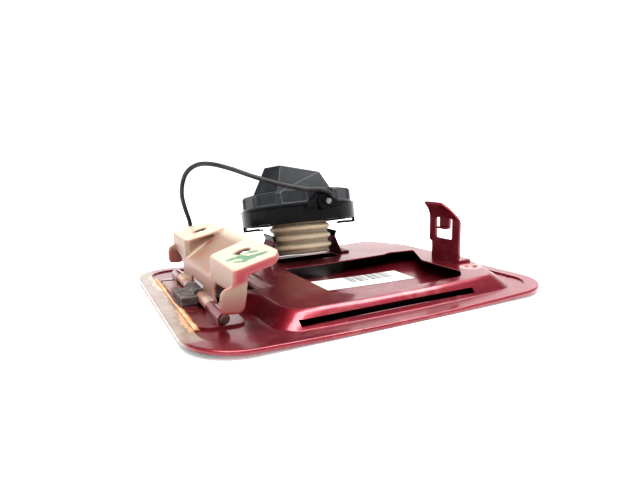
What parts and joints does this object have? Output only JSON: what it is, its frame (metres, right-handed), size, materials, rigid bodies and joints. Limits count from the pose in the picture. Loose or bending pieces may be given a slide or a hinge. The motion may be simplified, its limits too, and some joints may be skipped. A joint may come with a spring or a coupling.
{
  "type": "car fuel door",
  "caption": "Crowned fuel door of a car on its hinge bracket, with a latch hook, a sprung holder for the fuel cap and the tethered screw cap in it.",
  "frame": {"origin": "centre of the whole part's bounding box in plan, 1.66 mm to the far side of the door's middle because the cap's ring reaches past the door, at the lowest line of the crowned outer face, on which it lies", "axes": "+X from the hinge end to the latch end along the door's length, +Y along the hinge pin, +Z from the outer face to the inner side"},
  "size_m": [0.205, 0.1722, 0.0763],
  "materials": {
    "door_paint": "metallic lacquer over steel, glossy, dusty",
    "primer_paint": "cream primer with overspray, satin, scuffed",
    "seam_sealer": "cured sealer, matt",
    "pin_steel": "zinc plated, painted over",
    "grey_rubber": "moulded rubber, matt, dusty",
    "spring_steel": "dark spring steel",
    "black_plastic": "moulded black plastic, faded by light",
    "cream_plastic": "moulded cream plastic, satin",
    "black_rubber": "moulded rubber",
    "white_plastic": "moulded plastic",
    "brass_disc": "pressed and turned",
    "tether_plastic": "extruded black plastic cord, satin",
    "ferrule_metal": "crimped sleeve, satin"
  },
  "bodies": {
    "door": {"outer_skin": "door_paint", "inner_panel": "door_paint", "hem_sealer": "seam_sealer", "hinge_leaf": "door_paint", "hinge_pin": "pin_steel", "hinge_buffer": "grey_rubber", "hinge_channel": "door_paint", "hinge_spring": "spring_steel", "latch_hook": "door_paint", "holder_arm_left": "door_paint", "holder_arm_right": "door_paint", "tether_ring": "black_plastic", "tether": "tether_plastic", "tether_ferrule": "ferrule_metal"},
    "bracket": {"hinge_bracket": "primer_paint", "tether_clip": "black_plastic"},
    "cap": {"cap_body": "cream_plastic", "cap_gasket": "black_rubber", "ratchet_ring": "white_plastic", "valve_seal": "black_rubber", "valve_spring": "spring_steel", "valve_retainer": "cream_plastic"},
    "cover": {"cap_cover": "black_plastic"},
    "valve": {"valve_disc": "brass_disc"}
  },
  "joints": [
    {"name": "door_hinge", "type": "hinge", "parent": "door", "child": "bracket", "pos_m": [-0.081, -0.00166, 0.0074], "axis": [0, 1, 0], "range_deg": [-78, 14], "deforming": ["tether"]},
    {"name": "cap_turn", "type": "hinge", "parent": "door", "child": "cap", "pos_m": [0.0038, 0.04534, 0.0326], "axis": [0, 0.1736, 0.9848], "continuous": true},
    {"name": "cover_ratchet", "type": "hinge", "parent": "cap", "child": "cover", "pos_m": [0.0038, 0.04534, 0.0326], "axis": [0, 0.1736, 0.9848], "continuous": true},
    {"name": "valve_lift", "type": "slide", "parent": "cap", "child": "valve", "axis": [0, -0.1736, -0.9848], "range_m": [0, 0.0014], "stiffness_N_per_m": 150, "springref_m": -0.002, "deforming": ["valve_spring"]}
  ]
}
